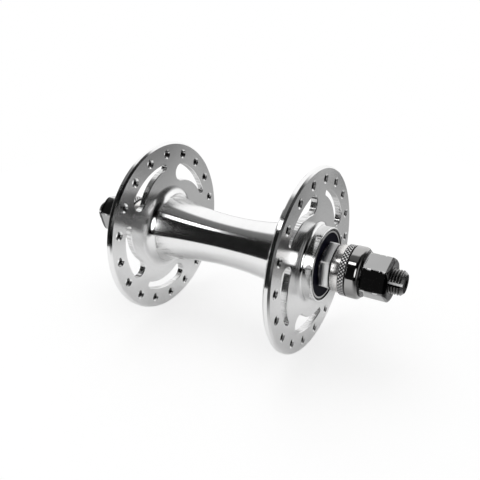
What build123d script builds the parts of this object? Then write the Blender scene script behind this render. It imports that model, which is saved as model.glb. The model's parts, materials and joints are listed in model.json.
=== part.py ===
from build123d import *
import os
from math import cos, radians, sin, sqrt, tan

# Track bicycle front hub, in millimetres.
# The axle lies along Y, +Z is up, and the origin is the middle of the hub.
# The right end points to -Y and the left end to +Y. Distances outwards are measured from the middle.
# Turns are in degrees, clockwise from straight up, each seen from beyond its own end of the hub.

# Sealed ball bearing, one in each end of the shell. The widths across it add up to 8.
bearing_bore = 10.0
bearing_outer_diameter = 26.0
ball_share_of_ring = 0.595
ball_count = 7
race_groove_depth = 1.7
race_corner_chamfer = 0.3
cage_thickness = 1.1
cage_side_rim = 0.39
cage_side_gap = 0.2
seal_thickness = 0.8
seal_recess = 0.2
seal_groove_depth = 1.4

# Axle: a thick middle between the bearings, a journal in each of them, and threaded ends with a centre
# hole and a keyway. Both keyways lie in line, so their turn is given as seen from beyond the left end.
axle_shoulder_height = 1.2
thread_diameter = 9.0
axle_stub_length = 4.5
axle_end_chamfer = 1.1
centre_hole_mouth = 3.0
centre_hole_diameter = 1.5
centre_hole_depth = 2.5
centre_hole_angle = 60.0
keyway_width = 1.3
keyway_depth = 0.9
keyway_start = 1.5
keyway_turn = 81.0

# Hub shell: two flanges on a waisted barrel, with a bearing boss outside each flange.
flange_spacing = 67.1
flange_thickness = 2.7
flange_diameter = 71.0
flange_rim_chamfer = 0.7
barrel_bore_gap = 1.8
barrel_wall = 2.0
barrel_root_wall = 1.4
barrel_root_fillet = 4.0
boss_wall = 1.0
boss_height = 5.1
boss_root_fillet = 1.6
boss_edge_rounding = 0.35
bearing_recess = 0.3
race_shoulder_height = 1.5
race_shoulder_width = 1.0
shoulder_taper_length = 5.0

# Spoke holes, countersunk on both faces of each flange.
spoke_hole_count = 18
spoke_circle_inset = 4.5
spoke_hole_diameter = 2.6
spoke_countersink_diameter = 3.8
spoke_hole_turns = {"right": -8.0, "left": -2.2}

# Wing-shaped slots: an outer edge concentric with the flange, a round wide end, a round narrow end
# and a hub-side edge that bulges outwards between them.
slot_count = 5
slot_inset = 3.9
slot_wide_radius = 3.5
slot_narrow_radius = 1.2
slot_hub_edge_radius = 18.6
slot_span = 44.9
slot_edge_break = 0.25
slot_turns = {"right": -8.7, "left": -25.1}

# Cone nut against the inner race, and the washer whose tab lies in the keyway.
cone_nut_across_flats = 16.3
cone_nut_face_diameter = 18.2
cone_nut_bevel_angle = 30.0
cone_nut_shoulder_diameter = 13.6
cone_nut_shoulder_width = 0.7
cone_nut_hex_width = 3.4
cone_nut_turns = {"right": 1.0, "left": 21.0}
tab_washer_diameter = 17.2
tab_washer_thickness = 0.5

# Locknut: a plain collar and a wider rim, whose outer face meets the fork end.
locknut_collar_diameter = 17.7
locknut_collar_width = 3.0
locknut_collar_chamfer = 0.3
locknut_rim_diameter = 18.9
locknut_rim_width = 2.7
locknut_rim_chamfer = 0.2

# Track nut and the loose washer that a lip inside the washer keeps on the nut.
washer_diameter = 19.0
washer_thickness = 4.5
washer_outer_rounding = 1.5
washer_inner_rounding = 0.4
track_nut_across_flats = 14.3
track_nut_hex_width = 9.3
track_nut_end_rounding = 1.6
track_nut_skirt_diameter = 16.7
track_nut_skirt_width = 0.6
track_nut_skirt_rounding = 0.4
track_nut_bore_chamfer = 0.5
track_nut_turns = {"right": 11.5, "left": 15.0}
spigot_wall = 1.2
lip_height = 0.6
lip_width = 0.7
lip_recess = 0.2

# Clearances: between fixed neighbours, where pieces turn or slide, round the balls and in the keyway.
fit_gap = 0.01
running_gap = 0.05
ball_gap = 0.03
keyway_gap = 0.05

# Radii that several pieces share.
bearing_bore_radius = bearing_bore / 2
bearing_outer_radius = bearing_outer_diameter / 2
ball_radius = (bearing_outer_radius - bearing_bore_radius) * ball_share_of_ring / 2
ball_circle_radius = (bearing_outer_radius + bearing_bore_radius) / 2
groove_radius = ball_radius + ball_gap
inner_land_radius = ball_circle_radius - groove_radius + race_groove_depth / 2
outer_land_radius = ball_circle_radius + groove_radius - race_groove_depth / 2
seal_outer_radius = outer_land_radius + seal_groove_depth
flange_radius = flange_diameter / 2
spoke_circle_radius = flange_radius - spoke_circle_inset
slot_outer_radius = spoke_circle_radius - slot_inset
seat_radius = bearing_outer_radius + fit_gap
boss_radius = bearing_outer_radius + boss_wall
axle_middle_radius = bearing_bore_radius + axle_shoulder_height
barrel_bore_radius = axle_middle_radius + barrel_bore_gap
barrel_waist_radius = barrel_bore_radius + barrel_wall
barrel_root_radius = seat_radius + barrel_root_wall
thread_radius = thread_diameter / 2
nut_bore_radius = thread_radius + fit_gap
loose_bore_radius = thread_radius + running_gap
spigot_radius = loose_bore_radius + spigot_wall
lip_radius = spigot_radius + lip_height

# Stack along the axle, as distances outwards from the middle of the hub.
cage_half_width = groove_radius + cage_side_rim
seal_depth = seal_thickness + seal_recess
bearing_width = 2 * (cage_half_width + cage_side_gap + seal_depth)
flange_inner_face = flange_spacing / 2 - flange_thickness / 2
flange_outer_face = flange_spacing / 2 + flange_thickness / 2
boss_end = flange_outer_face + boss_height
bearing_face = boss_end - bearing_recess
bearing_back = bearing_face - bearing_width
bearing_middle = bearing_face - bearing_width / 2
cone_nut_hex_start = bearing_face + cone_nut_shoulder_width
cone_nut_face = cone_nut_hex_start + cone_nut_hex_width
locknut_back = cone_nut_face + tab_washer_thickness
locknut_rim_start = locknut_back + locknut_collar_width
locknut_face = locknut_rim_start + locknut_rim_width
washer_back = locknut_face + running_gap
washer_face = washer_back + washer_thickness
lip_back = washer_back + lip_recess
lip_face = lip_back + lip_width
washer_step = lip_face + running_gap
track_nut_back = washer_face + running_gap
track_nut_hex_start = track_nut_back + track_nut_skirt_width
track_nut_face = track_nut_hex_start + track_nut_hex_width
axle_end = track_nut_face + axle_stub_length

SIDES = {"right": -1, "left": 1}


def turning_plane(outward):
    """A plane through the axle where x is the radius and y the distance outwards."""
    return Plane(origin=(0, 0, 0), x_dir=(1, 0, 0), z_dir=(0, 0, outward))


def facing_plane(outward, distance):
    """A plane across the axle, seen from beyond its own end of the hub with +Z up."""
    return Plane(origin=(0, outward * distance, 0), x_dir=(-outward, 0, 0), z_dir=(0, outward, 0))


def clock_point(radius, turn):
    """The point at this radius and turn, in a facing plane."""
    return Vector(radius * sin(radians(turn)), radius * cos(radians(turn)))


def band(inner_radius, outer_radius, start, end, mode=Mode.ADD):
    """The half section of a plain ring, in a turning plane."""
    with Locations(((inner_radius + outer_radius) / 2, (start + end) / 2)):
        Rectangle(outer_radius - inner_radius, end - start, mode=mode)


def hexagon(across_flats, turn):
    """A hexagon with one corner at this turn, in a facing plane."""
    RegularPolygon(across_flats / 2, 6, major_radius=False, rotation=90 - turn)


def corner_near(section, radius, distance):
    """The corner of a half section that lies nearest to this radius and distance outwards."""
    return section.vertices().sort_by_distance((radius, distance, 0))[0]


def save(piece, name):
    piece.part.label = name
    export_step(piece.part, f"parts/{name}.step")


def slot_outline(wide_turn):
    """Four tangent arcs round one wing slot, in a facing plane."""
    narrow_turn = wide_turn - slot_span
    wide_centre = clock_point(slot_outer_radius - slot_wide_radius, wide_turn)
    narrow_centre = clock_point(slot_outer_radius - slot_narrow_radius, narrow_turn)
    along = (narrow_centre - wide_centre).normalized()
    across = Vector(-along.Y, along.X)
    # The hub-side arc touches both end circles from outside, so its centre lies one arc radius and
    # one end radius away from each. Of the two such points it is the one nearer the axle.
    spread = (narrow_centre - wide_centre).length
    to_wide = slot_hub_edge_radius + slot_wide_radius
    to_narrow = slot_hub_edge_radius + slot_narrow_radius
    forward = (to_wide**2 - to_narrow**2 + spread**2) / (2 * spread)
    sideways = sqrt(to_wide**2 - forward**2)
    foot = wide_centre + along * forward
    edge_centre = min(foot + across * sideways, foot - across * sideways, key=lambda point: point.length)
    wide_touch = wide_centre + (edge_centre - wide_centre).normalized() * slot_wide_radius
    narrow_touch = narrow_centre + (edge_centre - narrow_centre).normalized() * slot_narrow_radius
    edge_middle = ((wide_touch + narrow_touch) / 2 - edge_centre).normalized() * slot_hub_edge_radius
    outer_wide = clock_point(slot_outer_radius, wide_turn)
    outer_middle = clock_point(slot_outer_radius, (wide_turn + narrow_turn) / 2)
    outer_narrow = clock_point(slot_outer_radius, narrow_turn)
    ThreePointArc(outer_narrow, outer_middle, outer_wide)
    ThreePointArc(outer_wide, wide_centre - along * slot_wide_radius, wide_touch)
    ThreePointArc(wide_touch, edge_centre + edge_middle, narrow_touch)
    ThreePointArc(narrow_touch, narrow_centre + along * slot_narrow_radius, outer_narrow)


os.makedirs("parts", exist_ok=True)

# Cutter for one spoke hole, with its outer mouth at the origin and its axis along Z.
spoke_hole_radius = spoke_hole_diameter / 2
countersink_radius = spoke_countersink_diameter / 2
countersink_depth = countersink_radius - spoke_hole_radius
with BuildPart() as spoke_drill:
    with BuildSketch(Plane.XZ):
        Polygon(
            (0, 0),
            (countersink_radius, 0),
            (spoke_hole_radius, -countersink_depth),
            (spoke_hole_radius, countersink_depth - flange_thickness),
            (countersink_radius, -flange_thickness),
            (0, -flange_thickness),
        )
    revolve(axis=Axis.Z)

# Hub shell: half a section, mirrored and turned, then each flange slotted and drilled. The slots'
# edges are broken on both faces by a shallow cut that tapers inwards.
race_shoulder_radius = seat_radius - race_shoulder_height
race_shoulder_end = bearing_back - race_shoulder_width
with BuildPart() as hub_shell:
    with BuildSketch(Plane.XY) as half_section:
        with BuildLine():
            TangentArc((barrel_waist_radius, 0), (barrel_root_radius, flange_inner_face), tangent=(0, 1))
            Polyline(
                (barrel_root_radius, flange_inner_face),
                (flange_radius, flange_inner_face),
                (flange_radius, flange_outer_face),
                (boss_radius, flange_outer_face),
                (boss_radius, boss_end),
                (seat_radius, boss_end),
                (seat_radius, bearing_back),
                (race_shoulder_radius, bearing_back),
                (race_shoulder_radius, race_shoulder_end),
                (barrel_bore_radius, race_shoulder_end - shoulder_taper_length),
                (barrel_bore_radius, 0),
                (barrel_waist_radius, 0),
            )
        make_face()
        fillet(corner_near(half_section, barrel_root_radius, flange_inner_face), barrel_root_fillet)
        fillet(corner_near(half_section, boss_radius, flange_outer_face), boss_root_fillet)
        fillet(corner_near(half_section, boss_radius, boss_end), boss_edge_rounding)
        chamfer(corner_near(half_section, seat_radius, boss_end), boss_edge_rounding)
        chamfer(corner_near(half_section, flange_radius, flange_inner_face), flange_rim_chamfer)
        chamfer(corner_near(half_section, flange_radius, flange_outer_face), flange_rim_chamfer)
        mirror(about=Plane.XZ)
    revolve(axis=Axis.Y)
    for side, outward in SIDES.items():
        with BuildSketch(facing_plane(outward, flange_inner_face)) as slots:
            for slot in range(slot_count):
                with BuildLine():
                    slot_outline(slot_turns[side] + slot * 360 / slot_count)
                make_face()
        extrude(amount=flange_thickness, mode=Mode.SUBTRACT)
        for flange_face, inwards in ((flange_inner_face, 1), (flange_outer_face, -1)):
            with BuildSketch(facing_plane(outward, flange_face)):
                add(slots.sketch_local)
                offset(amount=slot_edge_break)
            extrude(amount=inwards * slot_edge_break, taper=45, mode=Mode.SUBTRACT)
        first_hole = 90 - spoke_hole_turns[side]
        with Locations(facing_plane(outward, flange_outer_face)):
            with PolarLocations(spoke_circle_radius, spoke_hole_count, start_angle=first_hole):
                add(spoke_drill.part, mode=Mode.SUBTRACT)
save(hub_shell, "hub_shell")

# Axle: half a section, mirrored and turned, then a keyway cut along each threaded end.
centre_mouth_radius = centre_hole_mouth / 2
centre_hole_radius = centre_hole_diameter / 2
centre_cone_length = (centre_mouth_radius - centre_hole_radius) / tan(radians(centre_hole_angle / 2))
with BuildPart() as axle:
    with BuildSketch(Plane.XY) as half_axle:
        band(0, axle_middle_radius, 0, bearing_back)
        band(0, bearing_bore_radius - fit_gap, bearing_back, bearing_face)
        band(0, thread_radius, bearing_face, axle_end)
        chamfer(corner_near(half_axle, thread_radius, axle_end), axle_end_chamfer)
        Polygon(
            (0, axle_end),
            (centre_mouth_radius, axle_end),
            (centre_hole_radius, axle_end - centre_cone_length),
            (centre_hole_radius, axle_end - centre_hole_depth),
            (0, axle_end - centre_hole_depth),
            mode=Mode.SUBTRACT,
        )
        mirror(about=Plane.XZ)
    revolve(axis=Axis.Y)
    for outward in SIDES.values():
        with BuildSketch(facing_plane(outward, bearing_face + keyway_start)):
            with PolarLocations(thread_radius, 1, start_angle=90 - outward * keyway_turn):
                Rectangle(2 * keyway_depth, keyway_width)
        extrude(amount=axle_end - bearing_face - keyway_start, mode=Mode.SUBTRACT)
save(axle, "axle")

for side, outward in SIDES.items():
    # Outer race, with the ball groove and a step at each face for a seal.
    with BuildPart() as outer_race:
        with BuildSketch(turning_plane(outward)) as outer_race_section:
            band(outer_land_radius, bearing_outer_radius, bearing_back, bearing_face)
            band(0, seal_outer_radius, bearing_back, bearing_back + seal_depth, mode=Mode.SUBTRACT)
            band(0, seal_outer_radius, bearing_face - seal_depth, bearing_face, mode=Mode.SUBTRACT)
            with Locations((ball_circle_radius, bearing_middle)):
                Circle(groove_radius, mode=Mode.SUBTRACT)
            for face in (bearing_back, bearing_face):
                race_corner = corner_near(outer_race_section, bearing_outer_radius, face)
                chamfer(race_corner, race_corner_chamfer)
        revolve(axis=Axis.Y)
    save(outer_race, f"{side}_outer_race")

    # Inner race, as wide as the outer one.
    with BuildPart() as inner_race:
        with BuildSketch(turning_plane(outward)) as inner_race_section:
            band(bearing_bore_radius, inner_land_radius, bearing_back, bearing_face)
            with Locations((ball_circle_radius, bearing_middle)):
                Circle(groove_radius, mode=Mode.SUBTRACT)
            for face in (bearing_back, bearing_face):
                race_corner = corner_near(inner_race_section, bearing_bore_radius, face)
                chamfer(race_corner, race_corner_chamfer)
        revolve(axis=Axis.Y)
    save(inner_race, f"{side}_inner_race")

    # Balls, evenly spaced round the grooves.
    with BuildPart() as bearing_balls:
        with Locations(facing_plane(outward, bearing_middle)):
            with PolarLocations(ball_circle_radius, ball_count):
                Sphere(ball_radius)
    save(bearing_balls, f"{side}_bearing_balls")

    # Cage: a ring with a round pocket drilled through it for each ball.
    cage_inner_radius = ball_circle_radius - cage_thickness / 2
    cage_outer_radius = ball_circle_radius + cage_thickness / 2
    cage_start = bearing_middle - cage_half_width
    cage_end = bearing_middle + cage_half_width
    with BuildPart() as ball_cage:
        with BuildSketch(turning_plane(outward)):
            band(cage_inner_radius, cage_outer_radius, cage_start, cage_end)
        revolve(axis=Axis.Y)
        with Locations(facing_plane(outward, bearing_middle)):
            with PolarLocations(ball_circle_radius, ball_count):
                Cylinder(groove_radius, 2 * cage_thickness, rotation=(0, 90, 0), mode=Mode.SUBTRACT)
    save(ball_cage, f"{side}_ball_cage")

    # Seals, held by the outer race and just clear of the inner one.
    seal_inner_radius = inner_land_radius + running_gap
    seal_rim_radius = seal_outer_radius - fit_gap
    with BuildPart() as inner_seal:
        with BuildSketch(turning_plane(outward)):
            seal_start = bearing_back + seal_recess
            band(seal_inner_radius, seal_rim_radius, seal_start, seal_start + seal_thickness)
        revolve(axis=Axis.Y)
    save(inner_seal, f"{side}_inner_seal")
    with BuildPart() as outer_seal:
        with BuildSketch(turning_plane(outward)):
            seal_end = bearing_face - seal_recess
            band(seal_inner_radius, seal_rim_radius, seal_end - seal_thickness, seal_end)
        revolve(axis=Axis.Y)
    save(outer_seal, f"{side}_outer_seal")

    # Cone nut: a thin hexagon with bevelled corners and a round shoulder on the inner race.
    cone_nut_corner_radius = cone_nut_across_flats / sqrt(3)
    cone_nut_face_radius = cone_nut_face_diameter / 2
    cone_nut_bevel = (cone_nut_corner_radius - cone_nut_face_radius) * tan(radians(cone_nut_bevel_angle))
    with BuildPart() as cone_nut:
        with BuildSketch(facing_plane(outward, cone_nut_hex_start)):
            hexagon(cone_nut_across_flats, cone_nut_turns[side])
        extrude(amount=cone_nut_hex_width)
        with BuildSketch(turning_plane(outward)):
            Polygon(
                (0, cone_nut_hex_start),
                (cone_nut_face_radius, cone_nut_hex_start),
                (cone_nut_corner_radius, cone_nut_hex_start + cone_nut_bevel),
                (cone_nut_corner_radius, cone_nut_face - cone_nut_bevel),
                (cone_nut_face_radius, cone_nut_face),
                (0, cone_nut_face),
            )
        revolve(axis=Axis.Y, mode=Mode.INTERSECT)
        with BuildSketch(turning_plane(outward)):
            band(0, cone_nut_shoulder_diameter / 2, bearing_face, cone_nut_hex_start)
        revolve(axis=Axis.Y)
        with BuildSketch(turning_plane(outward)):
            band(0, nut_bore_radius, bearing_face, cone_nut_face)
        revolve(axis=Axis.Y, mode=Mode.SUBTRACT)
    save(cone_nut, f"{side}_cone_nut")

    # Washer between the two nuts, stopped from turning by its tab in the keyway.
    tab_height = keyway_depth - keyway_gap
    with BuildPart() as tab_washer:
        with BuildSketch(facing_plane(outward, cone_nut_face)):
            Circle(tab_washer_diameter / 2)
            Circle(nut_bore_radius, mode=Mode.SUBTRACT)
            with PolarLocations(thread_radius, 1, start_angle=90 - outward * keyway_turn):
                Rectangle(2 * tab_height, keyway_width - 2 * keyway_gap)
        extrude(amount=tab_washer_thickness)
    save(tab_washer, f"{side}_tab_washer")

    # Locknut: a collar and a wider rim.
    collar_radius = locknut_collar_diameter / 2
    rim_radius = locknut_rim_diameter / 2
    with BuildPart() as locknut:
        with BuildSketch(turning_plane(outward)) as locknut_section:
            band(nut_bore_radius, collar_radius, locknut_back, locknut_rim_start)
            band(nut_bore_radius, rim_radius, locknut_rim_start, locknut_face)
            chamfer(corner_near(locknut_section, collar_radius, locknut_back), locknut_collar_chamfer)
            chamfer(corner_near(locknut_section, rim_radius, locknut_rim_start), locknut_rim_chamfer)
            chamfer(corner_near(locknut_section, rim_radius, locknut_face), locknut_rim_chamfer)
        revolve(axis=Axis.Y)
    save(locknut, f"{side}_locknut")

    # Loose washer: a bore for the nut's spigot, and a wider pocket for its lip on the fork side.
    washer_radius = washer_diameter / 2
    with BuildPart() as captive_washer:
        with BuildSketch(turning_plane(outward)) as washer_section:
            band(spigot_radius + running_gap, washer_radius, washer_back, washer_face)
            band(0, lip_radius + running_gap, washer_back, washer_step, mode=Mode.SUBTRACT)
            fillet(corner_near(washer_section, washer_radius, washer_face), washer_outer_rounding)
            fillet(corner_near(washer_section, washer_radius, washer_back), washer_inner_rounding)
        revolve(axis=Axis.Y)
    save(captive_washer, f"{side}_captive_washer")

    # Track nut: a hexagon with a domed end, a thin round skirt, and the lipped spigot in the washer.
    nut_corner_radius = track_nut_across_flats / sqrt(3)
    skirt_radius = track_nut_skirt_diameter / 2
    with BuildPart() as track_nut:
        with BuildSketch(facing_plane(outward, track_nut_hex_start)):
            hexagon(track_nut_across_flats, track_nut_turns[side])
        extrude(amount=track_nut_hex_width)
        with BuildSketch(turning_plane(outward)) as dome_section:
            band(0, nut_corner_radius, track_nut_hex_start, track_nut_face)
            fillet(corner_near(dome_section, nut_corner_radius, track_nut_face), track_nut_end_rounding)
        revolve(axis=Axis.Y, mode=Mode.INTERSECT)
        with BuildSketch(turning_plane(outward)) as skirt_section:
            band(0, skirt_radius, track_nut_back, track_nut_hex_start)
            fillet(corner_near(skirt_section, skirt_radius, track_nut_hex_start), track_nut_skirt_rounding)
            band(0, spigot_radius, lip_back, track_nut_back)
            band(0, lip_radius, lip_back, lip_face)
        revolve(axis=Axis.Y)
        with BuildSketch(turning_plane(outward)):
            Polygon(
                (0, lip_back),
                (loose_bore_radius, lip_back),
                (loose_bore_radius, track_nut_face - track_nut_bore_chamfer),
                (loose_bore_radius + track_nut_bore_chamfer, track_nut_face),
                (0, track_nut_face),
            )
        revolve(axis=Axis.Y, mode=Mode.SUBTRACT)
    save(track_nut, f"{side}_track_nut")
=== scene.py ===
import bpy
import bmesh
import json
from math import asin, atan2, cos, pi, radians, sin, sqrt, tan
from mathutils import Matrix, Vector

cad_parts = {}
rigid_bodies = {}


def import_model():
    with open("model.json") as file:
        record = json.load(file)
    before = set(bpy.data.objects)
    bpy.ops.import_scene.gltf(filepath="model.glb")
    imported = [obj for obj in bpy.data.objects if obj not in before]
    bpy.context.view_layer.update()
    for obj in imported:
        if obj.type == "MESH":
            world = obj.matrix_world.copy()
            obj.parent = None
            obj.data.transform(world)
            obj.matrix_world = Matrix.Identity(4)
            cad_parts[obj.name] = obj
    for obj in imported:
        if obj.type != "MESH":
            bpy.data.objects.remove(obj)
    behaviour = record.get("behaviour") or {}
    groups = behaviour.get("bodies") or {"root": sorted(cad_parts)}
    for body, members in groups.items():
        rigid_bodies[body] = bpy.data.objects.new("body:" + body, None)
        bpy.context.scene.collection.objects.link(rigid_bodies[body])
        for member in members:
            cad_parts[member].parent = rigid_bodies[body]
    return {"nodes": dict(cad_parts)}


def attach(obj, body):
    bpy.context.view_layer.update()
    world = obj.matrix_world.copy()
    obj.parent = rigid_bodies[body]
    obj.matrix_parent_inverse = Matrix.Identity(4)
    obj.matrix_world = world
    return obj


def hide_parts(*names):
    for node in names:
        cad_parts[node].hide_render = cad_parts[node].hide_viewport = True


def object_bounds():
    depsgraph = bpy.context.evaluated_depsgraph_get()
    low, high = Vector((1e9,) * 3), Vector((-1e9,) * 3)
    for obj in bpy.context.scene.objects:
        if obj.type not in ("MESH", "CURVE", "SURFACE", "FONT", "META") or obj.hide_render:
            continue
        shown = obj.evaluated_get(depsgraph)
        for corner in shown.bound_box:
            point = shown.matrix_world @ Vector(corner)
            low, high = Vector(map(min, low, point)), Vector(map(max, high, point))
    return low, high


for leftover in list(bpy.data.objects):
    bpy.data.objects.remove(leftover)

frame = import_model()
nodes = frame["nodes"]
cad_low, cad_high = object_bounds()
scene = bpy.context.scene

# The axle, cone nuts, locknuts and track nuts are made again here, with their threads, knurl and
# rounded corners. Every other piece keeps its CAD mesh. All finishes are procedural.
#
# Sizes are in millimetres, as in the part's source. Distances are along the axle, outwards from the
# middle of the hub, and radii are from the axle's centre line. Turns are in degrees, clockwise from
# straight up, each seen from beyond its own end of the hub. The right end points to -Y.
MM = 0.001
SIDES = {"right": -1, "left": 1}

FLANGE_INNER_FACE = 32.2
FLANGE_OUTER_FACE = 34.9
FLANGE_LAND_RADIUS = 34.8       # where the chamfer on its rim starts
BEARING_BACK = 31.7
BEARING_FACE = 39.7
NUT_BORE_RADIUS = 4.51

AXLE_MIDDLE_RADIUS = 6.2
AXLE_JOURNAL_RADIUS = 4.99
AXLE_END = 69.0
AXLE_CHAMFER = 1.1
CENTRE_MOUTH_RADIUS = 1.5
CENTRE_CONE_END = (0.76, 1.3)   # radius, and depth from the axle's end
CENTRE_HOLE_END = (0.75, 2.48)
THREAD_RADIUS = 4.5
THREAD_PITCH = 1.0
THREAD_DEPTH = 0.58
THREAD_START = 49.0             # inside the locknut, so that a backed-off track nut bares thread
THREAD_RUNOUT = 0.5
KEYWAY_TURN = 81.0              # seen from beyond the left end; the right keyway lies in line with it
KEYWAY_START = 41.2
KEYWAY_HALF_WIDTH = 0.65
KEYWAY_FLOOR = 3.6

CONE_NUT_TURN = {"right": 1.0, "left": 21.0}
CONE_NUT_ACROSS_FLATS = 16.3
CONE_NUT_ROUNDING = 0.22
CONE_NUT_START = 40.4
CONE_NUT_FACE = 43.8
CONE_NUT_SHOULDER_RADIUS = 6.8
CONE_NUT_BEVEL_RADIUS = 9.1
CONE_NUT_BEVEL = 30.0

LOCKNUT_BACK = 44.3
LOCKNUT_RIM_START = 47.3
LOCKNUT_FACE = 50.0
LOCKNUT_COLLAR_RADIUS = 8.85
LOCKNUT_COLLAR_ROUNDING = 0.3
LOCKNUT_RIM_RADIUS = 9.45
LOCKNUT_EDGE_RADIUS = 9.1
KNURL_TEETH = 44
KNURL_DEPTH = 0.44
KNURL_LEAN = 1.35               # distance along the axle in which a groove moves on by one tooth
KNURL_SLOPES = 0.42             # share of a tooth's width that a groove's sloping sides take

TRACK_NUT_TURN = {"right": 11.5, "left": 15.0}
TRACK_NUT_ACROSS_FLATS = 14.3
TRACK_NUT_ROUNDING = 0.28
TRACK_NUT_BORE_RADIUS = 4.55
TRACK_NUT_BORE_CHAMFER = 0.5
TRACK_NUT_BACK = 54.6
TRACK_NUT_HEX_START = 55.2
TRACK_NUT_FACE = 64.5
LIP_RADIUS = 6.35
LIP_BACK = 50.25
LIP_FACE = 50.95
SPIGOT_RADIUS = 5.75
SKIRT_RADIUS = 8.35
SKIRT_BACK_ROUNDING = 0.1
SKIRT_ROUNDING = 0.4
DOME_ROUNDING = 1.6
DOME_CENTRE_RADIUS = 6.656


def finish_mesh(name, verts, faces, sharp):
    """A smooth mesh object from points in millimetres, with creases over this angle kept sharp."""
    mesh = bpy.data.meshes.new(name)
    mesh.from_pydata([(x * MM, y * MM, z * MM) for x, y, z in verts], [], faces)
    work = bmesh.new()
    work.from_mesh(mesh)
    bmesh.ops.remove_doubles(work, verts=work.verts, dist=1e-7)
    bmesh.ops.recalc_face_normals(work, faces=work.faces)
    work.to_mesh(mesh)
    work.free()
    mesh.polygons.foreach_set("use_smooth", [True] * len(mesh.polygons))
    mesh.set_sharp_from_angle(angle=radians(sharp))
    obj = bpy.data.objects.new(name, mesh)
    scene.collection.objects.link(obj)
    return obj


def swept_ring(name, outward, turns, section, sharp):
    """A closed ring round the axle; section(turn) is its outline there, as (radius, distance) pairs."""
    verts, faces = [], []
    size = len(section(turns[0]))
    for turn in turns:
        angle = radians(turn) * -outward
        for radius, distance in section(turn):
            verts.append((radius * sin(angle), outward * distance, radius * cos(angle)))
    count = len(turns)
    for i in range(count):
        k = (i + 1) % count
        for j in range(size):
            m = (j + 1) % size
            faces.append((i * size + j, i * size + m, k * size + m, k * size + j))
    return finish_mesh(name, verts, faces, sharp)


def arc(centre_radius, centre_distance, rounding, start, end, steps):
    """Points on the rounding of an outline; angles run from the radial direction towards outwards."""
    out = []
    for i in range(steps + 1):
        angle = radians(start + (end - start) * i / steps)
        out.append((centre_radius + rounding * cos(angle), centre_distance + rounding * sin(angle)))
    return out


def hex_radius(turn, first_corner, across_flats, rounding):
    """Outside radius of a hexagon with rounded corners, at one turn."""
    half_side = radians(30.0)
    off = (turn - first_corner) % 60.0
    off = radians(min(off, 60.0 - off))     # angle from the nearest corner
    apothem = across_flats / 2
    centre = (apothem - rounding) / cos(half_side)
    round_ends = atan2(rounding * sin(half_side), centre + rounding * cos(half_side))
    if off > round_ends:
        return apothem / cos(half_side - off)
    return centre * cos(off) + sqrt(rounding**2 - (centre * sin(off)) ** 2)


def hex_turns(first_corner):
    """Turns round a hexagon, closer together within 2.4 degrees of its corners."""
    near, fine_steps, coarse_steps = 2.4, 4, 24
    out = []
    for corner in range(6):
        turn = first_corner + 60.0 * corner
        out += [turn + near * i / fine_steps for i in range(-fine_steps, fine_steps + 1)]
        out += [turn + near + (60.0 - 2 * near) * i / coarse_steps for i in range(1, coarse_steps)]
    return out


def track_nut(side, outward):
    """Hexagon with a domed end and worn-round corners, the thin skirt, and the spigot with its lip."""
    corner = TRACK_NUT_TURN[side]
    dome_steps = 8

    def section(turn):
        edge = hex_radius(turn, corner, TRACK_NUT_ACROSS_FLATS, TRACK_NUT_ROUNDING)
        points = [
            (TRACK_NUT_BORE_RADIUS, LIP_BACK),
            (LIP_RADIUS, LIP_BACK),
            (LIP_RADIUS, LIP_FACE),
            (SPIGOT_RADIUS, LIP_FACE),
            (SPIGOT_RADIUS, TRACK_NUT_BACK),
        ]
        back = SKIRT_BACK_ROUNDING
        points += arc(SKIRT_RADIUS - back, TRACK_NUT_BACK + back, back, -90, 0, 2)
        front = SKIRT_ROUNDING
        points += arc(SKIRT_RADIUS - front, TRACK_NUT_HEX_START - front, front, 0, 90, 6)
        # the foot of a flat, which the skirt's rounding must not cross
        foot = min(edge, SKIRT_RADIUS - front - 0.05)
        points += [(foot + 0.02, TRACK_NUT_HEX_START)]
        points += [(edge - 0.02, TRACK_NUT_HEX_START + 0.1), (edge, TRACK_NUT_HEX_START + 0.3)]
        # the dome's rounding starts lower at the corners, where the edge is further out
        lean = asin((edge - DOME_CENTRE_RADIUS) / DOME_ROUNDING)
        dome_centre = TRACK_NUT_FACE - DOME_ROUNDING
        top = dome_centre + DOME_ROUNDING * cos(lean)
        points += [(edge, top - 0.12), (edge - 0.015, top - 0.04)]
        for i in range(dome_steps + 1):
            angle = (lean - 0.05) * (dome_steps - i) / dome_steps
            across = DOME_CENTRE_RADIUS + DOME_ROUNDING * sin(angle)
            points.append((across, dome_centre + DOME_ROUNDING * cos(angle)))
        mouth = TRACK_NUT_BORE_RADIUS + TRACK_NUT_BORE_CHAMFER
        points += [(mouth + 0.15, TRACK_NUT_FACE), (mouth, TRACK_NUT_FACE - 0.03)]
        points += [(TRACK_NUT_BORE_RADIUS, TRACK_NUT_FACE - TRACK_NUT_BORE_CHAMFER)]
        return points

    return swept_ring(f"{side}_track_nut_turned", outward, hex_turns(corner), section, sharp=40.0)


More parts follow.
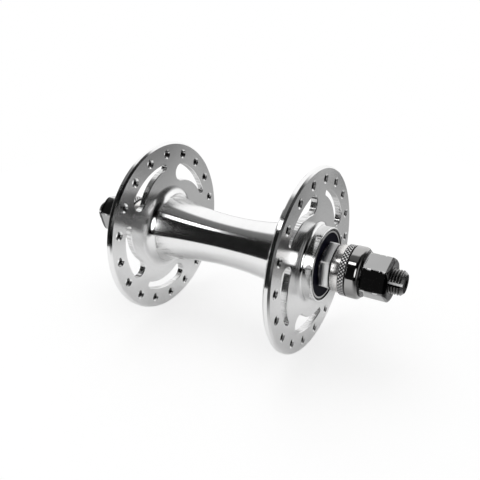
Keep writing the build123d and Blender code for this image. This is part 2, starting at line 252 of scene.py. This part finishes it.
def cone_nut(side, outward):
    """Thin hexagon with bevelled corners on both faces, and a round shoulder behind."""
    corner = CONE_NUT_TURN[side]
    slope = tan(radians(CONE_NUT_BEVEL))

    def section(turn):
        edge = hex_radius(turn, corner, CONE_NUT_ACROSS_FLATS, CONE_NUT_ROUNDING)
        drop = max(0.0, edge - CONE_NUT_BEVEL_RADIUS) * slope
        low, high = CONE_NUT_START + drop, CONE_NUT_FACE - drop
        return [
            (NUT_BORE_RADIUS, BEARING_FACE),
            (CONE_NUT_SHOULDER_RADIUS, BEARING_FACE),
            (CONE_NUT_SHOULDER_RADIUS, CONE_NUT_START),
            (CONE_NUT_SHOULDER_RADIUS + 0.9, CONE_NUT_START),
            (edge - 0.06, low),
            (edge - 0.02, low + 0.03),
            (edge, low + 0.08),
            (edge, high - 0.08),
            (edge - 0.02, high - 0.03),
            (edge - 0.06, high),
            (CONE_NUT_SHOULDER_RADIUS + 1.0, CONE_NUT_FACE),
            (NUT_BORE_RADIUS, CONE_NUT_FACE),
        ]

    return swept_ring(f"{side}_cone_nut_cut", outward, hex_turns(corner), section, sharp=40.0)


def wave(value):
    """A triangle wave between 0 and 1 with period 1."""
    value = value % 1.0
    return 2 * value if value < 0.5 else 2 - 2 * value


def locknut(side, outward):
    """The collar, and the rim with its diamond knurl cut by two crossing sets of grooves."""
    rows, columns_per_tooth = 30, 10
    margin = 0.02                           # the knurl starts and ends this far inside the rim
    end_share = 0.06                        # share of the rim in which the lands fall to their roots

    def section(turn):
        back = LOCKNUT_COLLAR_RADIUS - LOCKNUT_COLLAR_ROUNDING
        points = [(NUT_BORE_RADIUS, LOCKNUT_BACK), (back, LOCKNUT_BACK)]
        points += arc(back, LOCKNUT_BACK + LOCKNUT_COLLAR_ROUNDING, LOCKNUT_COLLAR_ROUNDING, -75, 0, 4)
        points += [(LOCKNUT_COLLAR_RADIUS, LOCKNUT_RIM_START - margin)]
        tooth = turn / 360.0 * KNURL_TEETH
        for row in range(rows + 1):
            share = row / rows
            along = margin + (LOCKNUT_FACE - LOCKNUT_RIM_START - 2 * margin) * share
            lean = along / KNURL_LEAN
            height = min(wave(tooth + lean), wave(tooth - lean), KNURL_SLOPES) / KNURL_SLOPES
            ends = min(1.0, share / end_share, (1 - share) / end_share)
            radius = LOCKNUT_RIM_RADIUS - KNURL_DEPTH * (1 - height * ends)
            points.append((radius, LOCKNUT_RIM_START + along))
        points += [(LOCKNUT_EDGE_RADIUS, LOCKNUT_FACE), (NUT_BORE_RADIUS, LOCKNUT_FACE)]
        return points

    columns = KNURL_TEETH * columns_per_tooth
    turns = [360.0 * i / columns for i in range(columns)]
    return swept_ring(f"{side}_locknut_knurled", outward, turns, section, sharp=50.0)


def thread_radius(angle, distance, outward):
    """A right-hand thread with flat crests and rounded roots; the angle runs from +Z towards +X."""
    crest_share, flank_share, easing = 0.14, 0.72, 0.08
    phase = (distance / THREAD_PITCH + outward * angle / (2 * pi)) % 1.0
    off = abs(phase - 0.5) * 2              # 0 in the middle of a crest, 1 in a root
    flank = min(1.0, max(0.0, (off - crest_share) / flank_share))
    return THREAD_RADIUS - THREAD_DEPTH * (flank - easing * sin(2 * pi * flank))


def axle():
    """The whole axle, with the thread cut on each end and a keyway along it."""
    columns, rings_per_mm = 120, 12
    keyway = radians(-KEYWAY_TURN)
    verts, faces = [], []

    def ring(y, radius_at, keyed):
        """One ring of points: round from one wall of the keyway to the other, then its floor."""
        start = len(verts)
        at_wall = radius_at(keyway)
        half = asin(min(0.9, KEYWAY_HALF_WIDTH / at_wall))
        for i in range(columns + 1):
            angle = keyway + half + (2 * pi - 2 * half) * i / columns
            radius = radius_at(angle)
            verts.append((radius * sin(angle), y, radius * cos(angle)))
        for across in (-1, 0, 1):
            if keyed:
                side, out = across * KEYWAY_HALF_WIDTH, min(KEYWAY_FLOOR, at_wall - 0.02)
            else:
                side, out = at_wall * sin(half * across), at_wall * cos(half * across)
            verts.append((
                side * cos(keyway) + out * sin(keyway), y, out * cos(keyway) - side * sin(keyway),
            ))
        return start

    def plain(radius):
        return lambda angle: radius

    stations = []
    for outward in (-1, 1):
        half = [
            (BEARING_BACK, plain(AXLE_MIDDLE_RADIUS), False),
            (BEARING_BACK, plain(AXLE_JOURNAL_RADIUS), False),
            (BEARING_FACE, plain(AXLE_JOURNAL_RADIUS), False),
            (BEARING_FACE, plain(THREAD_RADIUS), False),
            (KEYWAY_START, plain(THREAD_RADIUS), False),
            (KEYWAY_START, plain(THREAD_RADIUS), True),
            (THREAD_START, plain(THREAD_RADIUS), True),
        ]
        for i in range(1, int((AXLE_END - THREAD_START) * rings_per_mm) + 1):
            distance = THREAD_START + i / rings_per_mm
            runout = min(1.0, (distance - THREAD_START) / THREAD_RUNOUT)

            def radius_at(angle, distance=distance, runout=runout, outward=outward):
                cut = THREAD_RADIUS + (thread_radius(angle, distance, outward) - THREAD_RADIUS) * runout
                return min(cut, THREAD_RADIUS - max(0.0, distance - (AXLE_END - AXLE_CHAMFER)))

            half.append((distance, radius_at, True))
        half += [
            (AXLE_END, plain(THREAD_RADIUS - AXLE_CHAMFER), False),
            (AXLE_END, plain(CENTRE_MOUTH_RADIUS), False),
        ]
        for radius, depth in (CENTRE_CONE_END, CENTRE_HOLE_END):
            half.append((AXLE_END - depth, plain(radius), False))
        half = [(outward * distance, radius_at, keyed) for distance, radius_at, keyed in half]
        stations += half[::-1] if outward < 0 else half
    starts = [ring(*station) for station in stations]
    size = columns + 4
    for a, b in zip(starts, starts[1:]):
        for j in range(size):
            m = (j + 1) % size
            faces.append((a + j, a + m, b + m, b + j))
    for start in (starts[0], starts[-1]):
        faces.append(tuple(range(start, start + size)))
    return finish_mesh("axle_threaded", verts, faces, sharp=42.0)


def put(piece, node, body):
    """Let a new piece stand in for a CAD node, on the same body."""
    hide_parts(node)
    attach(piece, body)
    return piece


pieces = {"axle": put(axle(), "axle", "axle_set")}
for side, outward in SIDES.items():
    for node, make, body, slot in (
        ("cone_nut", cone_nut, "axle_set", "nut_steel"),
        ("locknut", locknut, "axle_set", "nut_chrome"),
        ("track_nut", track_nut, f"{side}_nut", "nut_chrome"),
    ):
        name = f"{side}_{node}"
        pieces[name] = put(make(side, outward), name, body)


class Graph:
    """A small helper for building one node tree. It measures places in millimetres."""

    def __init__(self, tree):
        self.tree = tree
        tree.nodes.clear()

    def feed(self, socket, value):
        """Link a socket to another one, or give it a plain value."""
        if isinstance(value, bpy.types.NodeSocket):
            self.tree.links.new(value, socket)
        else:
            socket.default_value = value

    def node(self, kind, inputs=None, **settings):
        new = self.tree.nodes.new("ShaderNode" + kind)
        for key, value in settings.items():
            setattr(new, key, value)
        for key, value in (inputs or {}).items():
            self.feed(new.inputs[key], value)
        return new

    def math(self, operation, a, b=0.0, c=0.0, clamp=False):
        return self.node("Math", {0: a, 1: b, 2: c}, operation=operation, use_clamp=clamp).outputs[0]

    def invert(self, value):
        return self.math("SUBTRACT", 1.0, value)

    def step(self, value, low, high):
        """0 below low and 1 above high, smooth between."""
        inputs = {"Value": value, "From Min": low, "From Max": high}
        return self.node("MapRange", inputs, interpolation_type="SMOOTHSTEP").outputs[0]

    def between(self, value, low, high, soft):
        """1 between low and high, 0 outside, with soft borders."""
        below_high = self.invert(self.step(value, high, high + soft))
        return self.every(self.step(value, low - soft, low), below_high)

    def every(self, *masks):
        """The product of several masks."""
        whole = masks[0]
        for mask in masks[1:]:
            whole = self.math("MULTIPLY", whole, mask)
        return whole

    def spread(self, value, low, high):
        """A 0 to 1 value spread between two numbers."""
        return self.math("MULTIPLY_ADD", value, high - low, low)

    def mix(self, factor, a, b):
        """Colour a, or b where the factor is 1."""
        return self.node("Mix", {0: factor, 6: a, 7: b}, data_type="RGBA").outputs[2]

    def blend(self, factor, a, b):
        """Number a, or b where the factor is 1."""
        return self.node("Mix", {0: factor, 2: a, 3: b}, data_type="FLOAT").outputs[0]

    def split(self, vector):
        return self.node("SeparateXYZ", {0: vector}).outputs[:3]

    def length(self, a, b):
        return self.math("SQRT", self.math("ADD", self.math("MULTIPLY", a, a), self.math("MULTIPLY", b, b)))

    def noise(self, vector, scale, detail, rough=0.5):
        inputs = {"Vector": vector, "Scale": scale, "Detail": detail, "Roughness": rough}
        return self.node("TexNoise", inputs).outputs["Fac"]


class Look(Graph):
    """One material of the hub: a principled shader with places measured from the axle."""

    def __init__(self, name, metal, anisotropic=0.0):
        self.material = bpy.data.materials.new(name)
        self.material.use_nodes = True
        super().__init__(self.material.node_tree)
        self.shader = self.node("BsdfPrincipled", {"Anisotropic": anisotropic})
        self.node("OutputMaterial", {"Surface": self.shader.outputs[0]})
        self.anisotropic = anisotropic
        self.metal = metal
        self.where = self.node("TexCoord").outputs["Object"]
        self.x, self.along, self.z = [self.math("DIVIDE", part, MM) for part in self.split(self.where)]
        self.radius = self.length(self.x, self.z)
        self.distance = self.math("ABSOLUTE", self.along)

    def grain(self, per_metre, detail, rough=0.5):
        """Noise that runs through the whole piece."""
        return self.noise(self.where, per_metre, detail, rough)

    def rings(self, per_metre, detail=3.0):
        """Noise that is the same all the way round the axle, as turning marks are."""
        vector = self.node("CombineXYZ", {0: self.radius, 1: self.along}).outputs[0]
        return self.noise(vector, per_metre * MM, detail)

    def along_axle(self):
        """1 on walls that run along the axle, 0 on faces across it."""
        normal = self.node("NewGeometry").outputs["Normal"]
        return self.invert(self.step(self.math("ABSOLUTE", self.split(normal)[1]), 0.2, 0.5))

    def finish(self, color, rough, height, bump, depth):
        """Link it all to the shader, with a bump of this strength and depth, and return the material."""
        bumped = self.node("Bump", {"Height": height, "Strength": bump, "Distance": depth * MM})
        inputs = self.shader.inputs
        self.feed(inputs["Base Color"], color)
        self.feed(inputs["Roughness"], rough)
        self.feed(inputs["Metallic"], self.metal)
        self.feed(inputs["Normal"], bumped.outputs[0])
        if self.anisotropic:
            # brushed round the axle
            tangent = self.node("Tangent", direction_type="RADIAL", axis="Y")
            self.feed(inputs["Tangent"], tangent.outputs[0])
            self.feed(inputs["Anisotropic Rotation"], 0.25)
        return self.material


def grey(value, warm=0.0):
    return (value * (1 + warm), value, value * (1 - warm), 1.0)


BLACK, WHITE = grey(0.0), grey(1.0)


def shell_aluminium():
    """Polished barrel and bosses, satin flange faces and milled slot walls, with painted shade down the
    spoke holes and in the bearing's mouth.
    """
    flange_root, boss_start, boss_radius = (14.6, 18.0), (35.2, 36.6), 15.0
    slot_radii, hole_radii = (15.6, 27.4), (29.3, 32.7)
    mouth_start, mouth_radius = (39.55, 39.65), 13.38
    look = Look("shell_polished_aluminium", metal=1.0, anisotropic=0.82)
    radius, distance = look.radius, look.distance
    on_flange = look.every(
        look.step(radius, *flange_root),
        look.step(distance, FLANGE_INNER_FACE - 0.7, FLANGE_INNER_FACE),
        look.invert(look.step(radius, FLANGE_LAND_RADIUS - 0.2, FLANGE_LAND_RADIUS)),
    )
    on_boss = look.every(look.step(distance, *boss_start), look.between(radius, 0.0, boss_radius, 1.2))
    rings = look.rings(2600.0, 4.0)
    tone = look.spread(look.grain(55.0, 4.0, 0.6), 0.80, 0.90)
    tone = look.math("MULTIPLY_ADD", look.rings(420.0, 2.0), 0.05, tone)

    # milling marks across the slot walls, and painted shade down the spoke holes
    in_flange = look.between(distance, FLANGE_INNER_FACE, FLANGE_OUTER_FACE, 0.2)
    wall = look.every(look.along_axle(), in_flange)
    slot_wall = look.every(wall, look.between(radius, *slot_radii, 0.3))
    hole_wall = look.every(wall, look.between(radius, *hole_radii, 0.2))
    across = look.node("CombineXYZ", {0: look.x, 1: look.z}).outputs[0]
    marks = look.step(look.noise(across, 2400.0 * MM, 3.0, 0.7), 0.36, 0.64)
    tone = look.blend(slot_wall, tone, look.spread(marks, 0.50, 0.92))
    tone = look.blend(hole_wall, tone, 0.10)

    # painted shade: a dark line in the gap where the bearing sits in the mouth
    mouth = look.every(look.step(distance, *mouth_start), look.between(radius, 0.0, mouth_radius, 0.06))
    tone = look.blend(mouth, tone, 0.02)

    rough_barrel = look.spread(rings, 0.10, 0.18)
    rough_flange = look.spread(rings, 0.19, 0.25)
    rough_boss = look.spread(rings, 0.05, 0.09)
    rough = look.blend(on_boss, look.blend(on_flange, rough_barrel, rough_flange), rough_boss)
    speck = look.grain(900.0, 3.0, 0.6)
    rough = look.math("MULTIPLY_ADD", look.math("SUBTRACT", speck, 0.5), 0.03, rough, clamp=True)
    height = look.math("MULTIPLY_ADD", speck, 0.15, rings)
    return look.finish(look.mix(tone, BLACK, WHITE), rough, height, bump=0.03, depth=0.04)


def ground_steel(name, level, rough_low, rough_high, anisotropic, gap_shade=False):
    """Ground or turned steel with rings round the axle, and if asked, painted shade on a race's edges, in
    the gaps by the seal and the boss.
    """
    look = Look(name, metal=1.0, anisotropic=anisotropic)
    rings = look.rings(3800.0)
    color = look.mix(look.grain(120.0, 3.0, 0.6), grey(level * 0.86), grey(level * 1.1))
    if gap_shade:
        # painted shade in the gaps: where the seal's edge lies in it, and at its chamfer
        seal_edge, chamfer_edge = 12.05, 12.67
        inside = look.invert(look.step(look.radius, seal_edge - 0.03, seal_edge + 0.03))
        outside = look.step(look.radius, chamfer_edge - 0.05, chamfer_edge + 0.05)
        color = look.mix(look.math("ADD", outside, inside, clamp=True), color, grey(0.015))
    return look.finish(color, look.spread(rings, rough_low, rough_high), rings, bump=0.2, depth=0.03)


def plating(name, level, warm=0.0):
    """The start of a plated finish, slightly clouded: its look and its colour."""
    look = Look(name, metal=1.0)
    return look, look.mix(look.grain(90.0, 3.0, 0.55), grey(level * 0.92, warm), grey(level * 1.06, warm))


def plated(look, color, rough_low, rough_high):
    """The end of a plated finish: faint waviness and fine scratches."""
    scratch = look.grain(2400.0, 3.0, 0.7)
    height = look.math("MULTIPLY_ADD", scratch, 0.2, look.grain(260.0, 2.0))
    rough = look.spread(scratch, rough_low, rough_high)
    return look.finish(color, rough, height, bump=0.10, depth=0.06)


def glinting_corners(look, color, corner_radius, share, spot_low, spot_high):
    """Painted highlights: bright white spots on the corners of a hexagon, where a noise passes between two
    values, mostly matt so that they stay bright from every side.
    """
    corner = look.step(look.radius, corner_radius - 0.22, corner_radius)
    spots = look.step(look.grain(620.0, 2.0), spot_low, spot_high)
    glint = look.math("MULTIPLY", look.every(corner, spots), share, clamp=True)
    look.metal = look.spread(glint, 1.0, 0.2)
    return look.mix(glint, color, grey(0.93))


def ball_steel():
    """Polished balls, in even steel."""
    look, color = plating("ball_polished_steel", level=0.75)
    return plated(look, color, rough_low=0.03, rough_high=0.06)


def washer_chrome():
    """Plain chrome."""
    look, color = plating("washer_chrome_plate", level=0.40, warm=0.01)
    return plated(look, color, rough_low=0.03, rough_high=0.07)


def cone_nut_steel():
    """Satin steel, with painted highlights along its corners."""
    look, color = plating("cone_nut_satin_steel", level=0.92)
    color = glinting_corners(look, color, corner_radius=9.34, share=1.0, spot_low=0.40, spot_high=0.48)
    return plated(look, color, rough_low=0.28, rough_high=0.36)


def locknut_chrome():
    """Chrome, with a painted highlight on the knurl's near-white lands and painted shade in its near-black
    grooves.
    """
    look, color = plating("locknut_chrome", level=0.78, warm=0.015)
    # painted highlight: the knurl's lands are near white and partly matt; painted shade: its grooves are
    # near black
    on_rim = look.step(look.distance, LOCKNUT_RIM_START - 0.05, LOCKNUT_RIM_START + 0.05)
    high = look.step(look.radius, LOCKNUT_RIM_RADIUS - 0.17, LOCKNUT_RIM_RADIUS - 0.01)
    land = look.every(on_rim, high)
    groove = look.every(on_rim, look.invert(high))
    color = look.mix(land, look.mix(groove, color, grey(0.01)), grey(0.98))
    look.metal = look.spread(land, 1.0, 0.6)
    return plated(look, color, rough_low=0.16, rough_high=0.22)


def track_nut_chrome():
    """Chrome with painted highlights on its corners, a skirt painted black as painted shade, and a dark
    turned dome.
    """
    look, color = plating("track_nut_chrome", level=0.39)
    color = glinting_corners(look, color, corner_radius=8.18, share=0.9, spot_low=0.50, spot_high=0.58)
    # painted shade: the skirt, spigot and lip are near black, in the crevice between the washer and the
    # hexagon
    off_skirt = look.step(look.distance, TRACK_NUT_HEX_START - 0.06, TRACK_NUT_HEX_START + 0.04)
    color = look.mix(off_skirt, grey(0.02), color)
    on_dome = look.step(look.distance, TRACK_NUT_FACE - 1.5, TRACK_NUT_FACE - 1.2)
    marks = look.step(look.grain(1400.0, 3.0, 0.6), 0.35, 0.65)
    color = look.mix(on_dome, color, look.mix(marks, grey(0.05), grey(0.11)))
    return plated(look, color, rough_low=0.03, rough_high=0.08)


def axle_steel():
    """Dark steel: grey crests and plain parts with painted shade in the thread's roots, a painted highlight
    along the keyway, a grey end chamfer, a black end face, and painted shade in the centre hole.
    """
    look = Look("axle_dark_steel", metal=1.0)
    radius, distance = look.radius, look.distance
    grain = look.grain(1500.0, 4.0, 0.65)
    # painted shade: below the crests the colour fades to near black with depth, in the thread's roots and
    # the keyway
    crest = look.step(radius, THREAD_RADIUS - 0.5, THREAD_RADIUS - 0.04)
    color = look.mix(crest, grey(0.02), grey(0.42, 0.01))
    stained = look.math("MULTIPLY", look.grain(240.0, 3.0, 0.55), 0.4)
    color = look.mix(stained, color, grey(0.12, 0.04))
    chamfer_start = AXLE_END - AXLE_CHAMFER
    color = look.mix(look.step(distance, chamfer_start - 0.05, chamfer_start), color, grey(0.36))

    # painted highlight: the upper half of the keyway's floor, and the edge above it, near white and matt
    key_x, key_z = -sin(radians(KEYWAY_TURN)), cos(radians(KEYWAY_TURN))
    out = look.math("ADD", look.math("MULTIPLY", look.x, key_x), look.math("MULTIPLY", look.z, key_z))
    side = look.math("ADD", look.math("MULTIPLY", look.x, key_z), look.math("MULTIPLY", look.z, -key_x))
    bright = look.every(
        look.step(out, KEYWAY_FLOOR - 0.2, KEYWAY_FLOOR - 0.1),
        look.between(side, -0.10, KEYWAY_HALF_WIDTH + 0.12, 0.03),
        look.between(distance, KEYWAY_START + 0.1, AXLE_END - 0.3, 0.05),
    )
    color = look.mix(bright, color, grey(0.98))
    look.metal = look.invert(bright)

    face_radius = THREAD_RADIUS - AXLE_CHAMFER
    face = look.every(
        look.step(distance, AXLE_END - 0.07, AXLE_END - 0.03),
        look.invert(look.step(radius, face_radius - 0.02, face_radius + 0.02)),
    )
    # painted shade: the centre hole is near black down to its depth
    centre_hole = look.every(
        look.step(distance, AXLE_END - 2.7, AXLE_END - 2.6),
        look.between(radius, 0.0, CENTRE_MOUTH_RADIUS + 0.1, 0.05),
    )
    black = look.math("MAXIMUM", face, centre_hole)
    color = look.mix(black, color, grey(0.004))
    rough = look.math("MULTIPLY_ADD", black, 0.3, look.spread(grain, 0.22, 0.34), clamp=True)
    return look.finish(color, rough, grain, bump=0.08, depth=0.05)


def seal_rubber():
    """Moulded seal: nearly black with a blue cast, a faint ring pattern and a soft sheen."""
    look = Look("seal_rubber_moulded", metal=0.0)
    grain = look.grain(1800.0, 4.0, 0.6)
    height = look.math("ADD", look.rings(1500.0, 2.0), grain)
    color = look.mix(grain, (0.0015, 0.0015, 0.005, 1.0), (0.006, 0.0055, 0.016, 1.0))
    look.feed(look.shader.inputs["Specular IOR Level"], 0.012)
    return look.finish(color, look.spread(grain, 0.32, 0.5), height, bump=0.25, depth=0.04)


def cage_plastic():
    """Moulded plastic with a fine grain."""
    look = Look("cage_moulded_plastic", metal=0.0)
    grain = look.grain(1200.0, 3.0, 0.6)
    color = look.mix(grain, (0.5, 0.48, 0.4, 1.0), (0.68, 0.66, 0.58, 1.0))
    return look.finish(color, look.spread(grain, 0.45, 0.65), grain, bump=0.15, depth=0.03)


def outer_race_steel():
    """Ground rings, with painted shade in the gaps at both their edges."""
    return ground_steel(
        "race_ground_steel", level=0.5, rough_low=0.2, rough_high=0.32, anisotropic=0.5, gap_shade=True)


def inner_race_steel():
    """Ground rings, much darker than the outer race."""
    return ground_steel(
        "inner_race_dark_steel", level=0.10, rough_low=0.2, rough_high=0.32, anisotropic=0.5)


def tab_washer_steel():
    """Dark steel, rougher than the races."""
    return ground_steel(
        "tab_washer_dark_steel", level=0.08, rough_low=0.3, rough_high=0.45, anisotropic=0.3)


looks = {
    "hub_shell": shell_aluminium(),
    "outer_race": outer_race_steel(),
    "inner_race": inner_race_steel(),
    "bearing_balls": ball_steel(),
    "ball_cage": cage_plastic(),
    "seal": seal_rubber(),
    "cone_nut": cone_nut_steel(),
    "tab_washer": tab_washer_steel(),
    "locknut": locknut_chrome(),
    "captive_washer": washer_chrome(),
    "track_nut": track_nut_chrome(),
    "axle": axle_steel(),
}


def dress(obj, look):
    obj.data.materials.clear()
    obj.data.materials.append(looks[look])


dress(nodes["hub_shell"], "hub_shell")
dress(pieces["axle"], "axle")
for side in SIDES:
    for node in ("outer_race", "inner_race", "bearing_balls", "ball_cage", "tab_washer", "captive_washer"):
        dress(nodes[f"{side}_{node}"], node)
    for node in ("inner_seal", "outer_seal"):
        dress(nodes[f"{side}_{node}"], "seal")
    for node in ("cone_nut", "locknut", "track_nut"):
        dress(pieces[f"{side}_{node}"], node)


def floor():
    """A wide round sheet under the hub: white to the camera, and in tones of grey where it is mirrored."""
    centre_x, centre_y, sheet_radius, corners = 60.0, 20.0, 240.0, 96
    outline = []
    for i in range(corners):
        angle = 2 * pi * i / corners
        x = centre_x + sheet_radius * cos(angle)
        y = centre_y + sheet_radius * sin(angle)
        outline.append((x * MM, y * MM, cad_low.z))
    mesh = bpy.data.meshes.new("floor")
    mesh.from_pydata(outline, [], [tuple(range(corners))])
    obj = bpy.data.objects.new("floor", mesh)
    scene.collection.objects.link(obj)
    material = bpy.data.materials.new("floor_white")
    material.use_nodes = True
    graph = Graph(material.node_tree)
    where = graph.node("TexCoord").outputs["Object"]
    x, y = [graph.math("DIVIDE", part, MM) for part in graph.split(where)[:2]]

    # painted shade standing for the studio's light falling off: pale under the hub, darker towards +X, and
    # nearly black far away and in front of the right end
    far_fade, front_fade, side_fade = (160.0, 300.0), (-130.0, -40.0), (22.0, 55.0)
    forward = graph.math("MULTIPLY_ADD", x, 0.3, y)
    near = graph.invert(graph.step(graph.length(x, y), *far_fade))
    near = graph.every(near, graph.step(forward, *front_fade))
    pale = graph.mix(graph.step(x, *side_fade), grey(0.93), grey(0.43))
    tone = graph.mix(near, grey(0.08), pale)

    # the camera sees a white that still takes the hub's shadow, as only this share of it glows
    glow_share = 0.72
    camera_ray = graph.node("LightPath").outputs["Is Camera Ray"]
    diffuse = graph.node("BsdfDiffuse", {"Color": graph.mix(camera_ray, tone, WHITE)})
    glow = graph.node("Emission", {"Color": WHITE, "Strength": 1.0})
    share = graph.math("MULTIPLY", camera_ray, glow_share)
    mixed = graph.node("MixShader", {0: share, 1: diffuse.outputs[0], 2: glow.outputs[0]})
    graph.node("OutputMaterial", {"Surface": mixed.outputs[0]})
    mesh.materials.append(material)


def room():
    """White to the camera, even light for matt surfaces, and a studio with a dark side for mirrors."""
    world = bpy.data.worlds.new("studio")
    scene.world = world
    world.use_nodes = True
    world.cycles.sampling_method = "NONE"
    graph = Graph(world.node_tree)
    direction = graph.node("TexCoord").outputs["Generated"]
    x, y, z = graph.split(direction)

    # brightness by the direction's angle about Y, from straight up towards +X, in degrees
    levels = (
        (-180, 0.04), (-108, 0.03), (-97, 0.012), (-60, 0.008), (-24, 0.02), (-19, 0.14),
        (5, 0.2), (14, 1.08), (60, 1.1), (100, 1.0), (112, 0.35), (180, 0.12),
    )
    turn = graph.math("ARCTAN2", x, z)
    ramp = graph.node("ValToRGB", {"Fac": graph.math("MULTIPLY_ADD", turn, 0.5 / pi, 0.5)})
    stops = ramp.color_ramp
    while len(stops.elements) < len(levels):
        stops.elements.new(0.5)
    for element, (angle, level) in zip(stops.elements, levels):
        element.position = angle / 360 + 0.5
        element.color = grey(level)
    around = graph.node("SeparateColor", {0: ramp.outputs["Color"]}).outputs[0]

    # the camera's side of the room is dark, apart from its lights
    reach = graph.math("MULTIPLY_ADD", graph.step(x, 0.2, 0.6), 0.3, y)
    around = graph.math("MULTIPLY", around, graph.spread(graph.step(reach, -0.35, -0.08), 0.05, 1.0))

    # a narrow strip light, high on the dark side and turned towards the left end
    strip_strength = 3.4
    strip = graph.every(
        graph.between(turn, radians(-35.5), radians(-26.5), radians(1.5)),
        graph.invert(graph.step(y, 0.41, 0.48)),
        graph.step(y, 0.15, 0.25),
    )
    mirrored = graph.math("MULTIPLY_ADD", strip, strip_strength, around)

    # a soft light close beside the camera, and a dim one facing the right end, each with the angles
    # at which it starts and ends fading, in degrees, and its strength
    for aim, inner, outer, strength in (
        ((-0.85, -0.38, 0.34), 15, 21, 2.4),
        ((0.0, -1.0, 0.0), 12, 32, 0.3),
    ):
        aim = tuple(Vector(aim).normalized())
        facing = graph.node("VectorMath", {0: direction, 1: aim}, operation="DOT_PRODUCT").outputs["Value"]
        patch = graph.step(facing, cos(radians(outer)), cos(radians(inner)))
        mirrored = graph.math("MULTIPLY_ADD", patch, strength, mirrored)

    matt_level, camera_level = 0.8, 1.0
    path = graph.node("LightPath")
    level = graph.blend(path.outputs["Is Glossy Ray"], matt_level, mirrored)
    level = graph.blend(path.outputs["Is Camera Ray"], level, camera_level)
    back = graph.node("Background", {"Color": WHITE, "Strength": level})
    graph.node("OutputWorld", {"Surface": back.outputs[0]})


def softbox():
    """A weak round light high above the left end, aimed at the hub, which no surface mirrors."""
    data = bpy.data.lights.new("overhead_softbox", "AREA")
    data.shape = "DISK"
    data.size = 0.5
    data.energy = 1.1
    obj = bpy.data.objects.new("overhead_softbox", data)
    scene.collection.objects.link(obj)
    obj.location = (0.10, 0.12, 0.55)
    obj.rotation_euler = (-obj.location).to_track_quat("-Z", "Y").to_euler()
    obj.visible_glossy = False


def camera():
    """The photograph's view, fitted to the places of the spoke holes, nuts and axle ends."""
    azimuth, elevation = radians(-59.061), radians(23.842)
    away, shift_right, shift_up = 227.8, -2.448, -0.767
    focal_pixels, image_pixels, sensor_width = 571.735, 480.0, 36.0
    back = Vector((sin(azimuth) * cos(elevation), -cos(azimuth) * cos(elevation), sin(elevation)))
    right = Vector((cos(azimuth), sin(azimuth), 0.0))
    up = back.cross(right)
    place = (back * away - right * shift_right - up * shift_up) * MM
    data = bpy.data.cameras.new("camera")
    data.sensor_width = sensor_width
    data.lens = focal_pixels * sensor_width / image_pixels
    data.clip_start = 0.01
    obj = bpy.data.objects.new("camera", data)
    scene.collection.objects.link(obj)
    obj.matrix_world = Matrix.Translation(place) @ Matrix((right, up, back)).transposed().to_4x4()
    scene.camera = obj


floor()
room()
softbox()
camera()
scene.view_settings.view_transform = "Standard"
